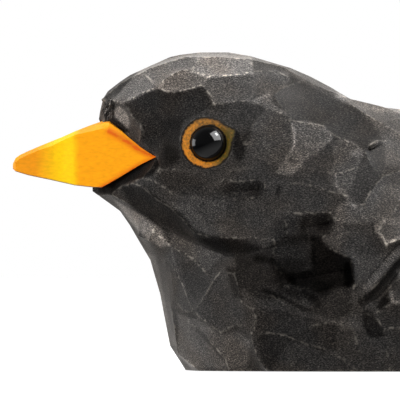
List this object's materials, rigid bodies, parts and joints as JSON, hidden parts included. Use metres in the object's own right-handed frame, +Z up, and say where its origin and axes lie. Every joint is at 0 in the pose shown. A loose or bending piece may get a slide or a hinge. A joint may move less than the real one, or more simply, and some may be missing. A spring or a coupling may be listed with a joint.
{
  "type": "bird carving",
  "caption": "Hand-carved wooden blackbird bust with knife facets, painted orange beak and eye rings, and inset glass eyes, cut flat underneath.",
  "frame": {"origin": "centre of the bounding box on the flat underside, where the bust stands", "axes": "+Z up out of the underside, -X the way the beak points, -Y out of the bird's left side"},
  "size_m": [0.0926, 0.0492, 0.0579],
  "materials": {
    "painted_wood": "solid wood cut with a knife, under a thin black stain with an orange painted beak and eye rings",
    "eye_glass": "solid black glass bead, polished"
  },
  "bodies": {
    "root": {"carved_body": "painted_wood", "glass_eye_left": "eye_glass", "glass_eye_right": "eye_glass"}
  },
  "joints": []
}
